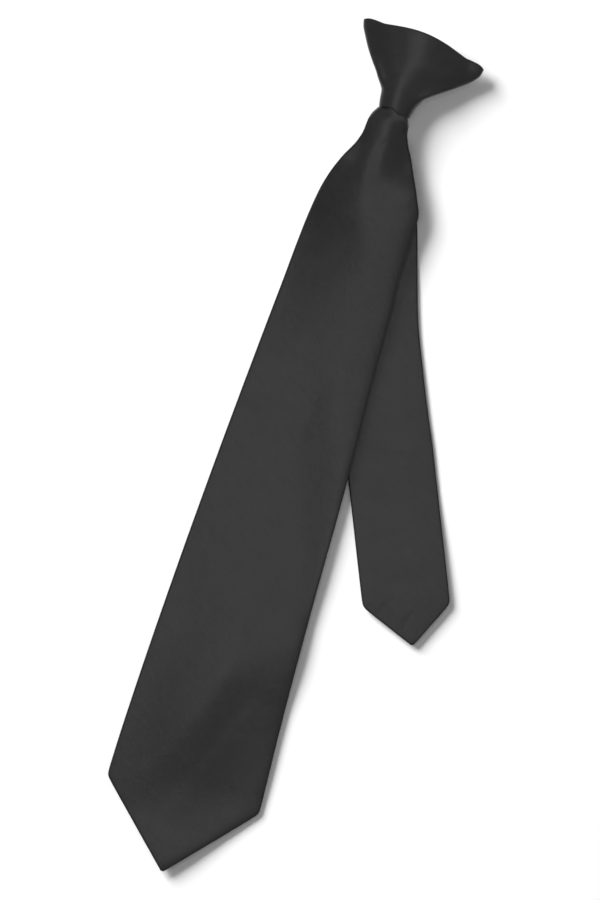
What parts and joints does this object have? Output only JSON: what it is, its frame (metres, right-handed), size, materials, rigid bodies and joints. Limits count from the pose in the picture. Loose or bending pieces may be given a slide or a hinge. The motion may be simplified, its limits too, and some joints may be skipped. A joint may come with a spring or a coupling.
{
  "type": "clip on tie",
  "caption": "Black satin clip on necktie lying face up: pointed front blade over a swung tail blade, both gathered into a flared knot with a bent spring steel collar clip.",
  "frame": {"origin": "middle of the outline seen from above, on the surface that the tie lies on", "axes": "+Y up the front blade towards the knot, +Z out of the tie's front face, +X to the wearer's left"},
  "size_m": [0.1432, 0.4572, 0.0199],
  "materials": {
    "black_satin": "soft satin weave",
    "clip_steel": "bright plated"
  },
  "bodies": {
    "root": {"knot": "black_satin", "front_blade": "black_satin", "tail_blade": "black_satin", "clip": "clip_steel"}
  },
  "joints": []
}
